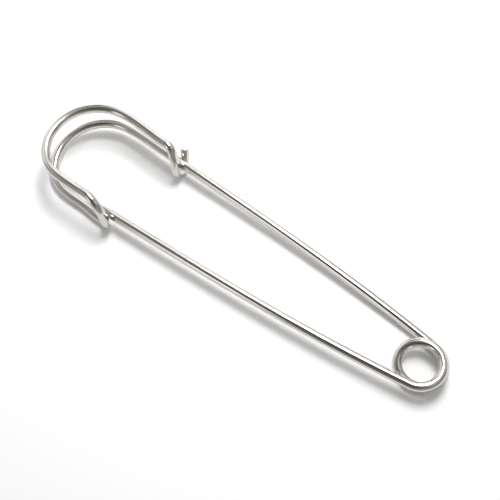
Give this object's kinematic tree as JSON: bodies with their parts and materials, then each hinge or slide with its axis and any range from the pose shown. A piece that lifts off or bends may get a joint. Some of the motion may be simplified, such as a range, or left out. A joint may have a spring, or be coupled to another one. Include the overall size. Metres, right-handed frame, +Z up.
{
  "type": "kilt pin",
  "caption": "Long safety pin of bent round wire: sprung pin leg and coil, back bar, doubled U-shaped guard wire with a catch and a wrapped end.",
  "frame": {"origin": "middle of the length and width, on the plane the pin rests on when it lies flat", "axes": "+X along the length towards the coil, +Y across towards the back bar, +Z up, square to the plane of the two legs"},
  "size_m": [0.0758, 0.0197, 0.0078],
  "materials": {
    "plated_wire": "bright nickel-plated steel wire"
  },
  "bodies": {
    "frame": {"coil_spring": "plated_wire", "back_bar": "plated_wire", "guard_lower_wire": "plated_wire", "catch_hook": "plated_wire", "guard_upper_wire": "plated_wire", "bar_wrap": "plated_wire"},
    "pin": {"pin_arm": "plated_wire"}
  },
  "joints": [
    {"name": "pin_squeeze", "type": "hinge", "parent": "frame", "child": "pin", "pos_m": [0.03363, -0.00026, 0.00267], "axis": [0, 0, 1], "range_deg": [-12, 0], "stiffness_Nm_per_rad": 0.71, "springref_deg": 14.32, "deforming": ["coil_spring"]}
  ]
}
